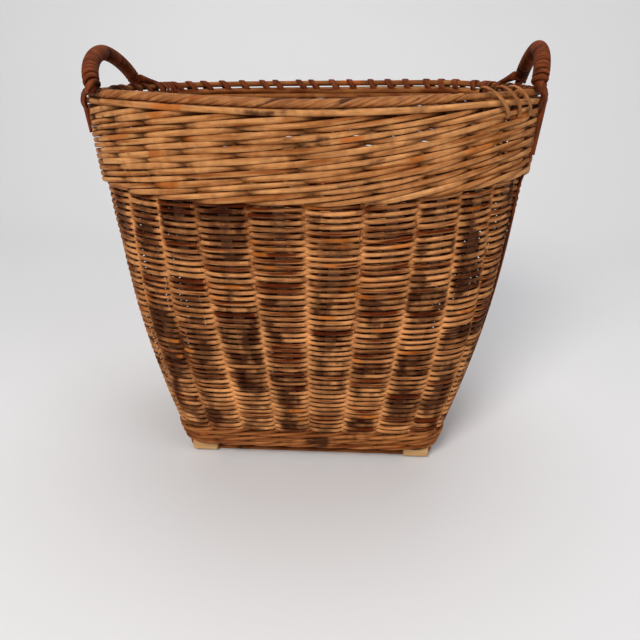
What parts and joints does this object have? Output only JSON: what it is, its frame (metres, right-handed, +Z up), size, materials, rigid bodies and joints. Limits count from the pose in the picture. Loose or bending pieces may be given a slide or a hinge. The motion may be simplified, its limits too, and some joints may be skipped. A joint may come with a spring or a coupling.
{
  "type": "gathering basket",
  "caption": "Tall oval woven cane basket on a squared base, with a thick rod band under the rim and two arched wrapped handles for carrying.",
  "frame": {"origin": "on the floor, under the middle of the basket", "axes": "+Z up, +X towards one handle, +Y towards the back; the pictured side faces -Y"},
  "size_m": [0.3634, 0.3048, 0.3406],
  "materials": {
    "dark_cane": "dark stained split cane, satin",
    "brown_weave": "fine woven cane with a worn brown stain, satin",
    "golden_rod": "split golden rods, satin",
    "stake_cane": "flat split cane uprights",
    "rim_brown": "brown cane, satin",
    "rope_cane": "twisted cane, satin",
    "foot_wood": "bare light wood"
  },
  "bodies": {
    "root": {"band_course_1": "golden_rod", "band_course_2": "golden_rod", "band_course_3": "golden_rod", "band_course_4": "golden_rod", "band_course_5": "golden_rod", "band_course_6": "golden_rod", "band_course_7": "golden_rod", "base_border": "rim_brown", "base_panel": "brown_weave", "body_weave_1": "brown_weave", "body_weave_2": "brown_weave", "body_weave_3": "brown_weave", "foot_back_left": "foot_wood", "foot_back_right": "foot_wood", "foot_front_left": "foot_wood", "foot_front_right": "foot_wood", "handle_core_left": "dark_cane", "handle_core_right": "dark_cane", "handle_wrap_left": "dark_cane", "handle_wrap_right": "dark_cane", "leg_lashing_back_left": "dark_cane", "leg_lashing_back_right": "dark_cane", "leg_lashing_front_left": "dark_cane", "leg_lashing_front_right": "dark_cane", "rim_hoop_inner": "golden_rod", "rim_hoop_outer": "golden_rod", "rim_rod": "rim_brown", "rim_rope": "rope_cane", "runner_back": "dark_cane", "runner_front": "dark_cane", "stake_01": "stake_cane", "stake_02": "stake_cane", "stake_03": "stake_cane", "stake_04": "stake_cane", "stake_05": "stake_cane", "stake_06": "stake_cane", "stake_07": "stake_cane", "stake_08": "stake_cane", "stake_09": "stake_cane", "stake_10": "stake_cane", "stake_11": "stake_cane", "stake_12": "stake_cane", "stake_13": "stake_cane", "stake_14": "stake_cane", "stake_15": "stake_cane", "stake_16": "stake_cane", "stake_17": "stake_cane", "stake_18": "stake_cane", "stake_19": "stake_cane", "stake_20": "stake_cane", "stake_21": "stake_cane", "stake_22": "stake_cane", "stake_23": "stake_cane", "stake_24": "stake_cane", "stake_25": "stake_cane", "stake_26": "stake_cane", "stake_27": "stake_cane", "stake_28": "stake_cane", "upset_course_1": "rim_brown", "upset_course_2": "rim_brown"}
  },
  "joints": []
}
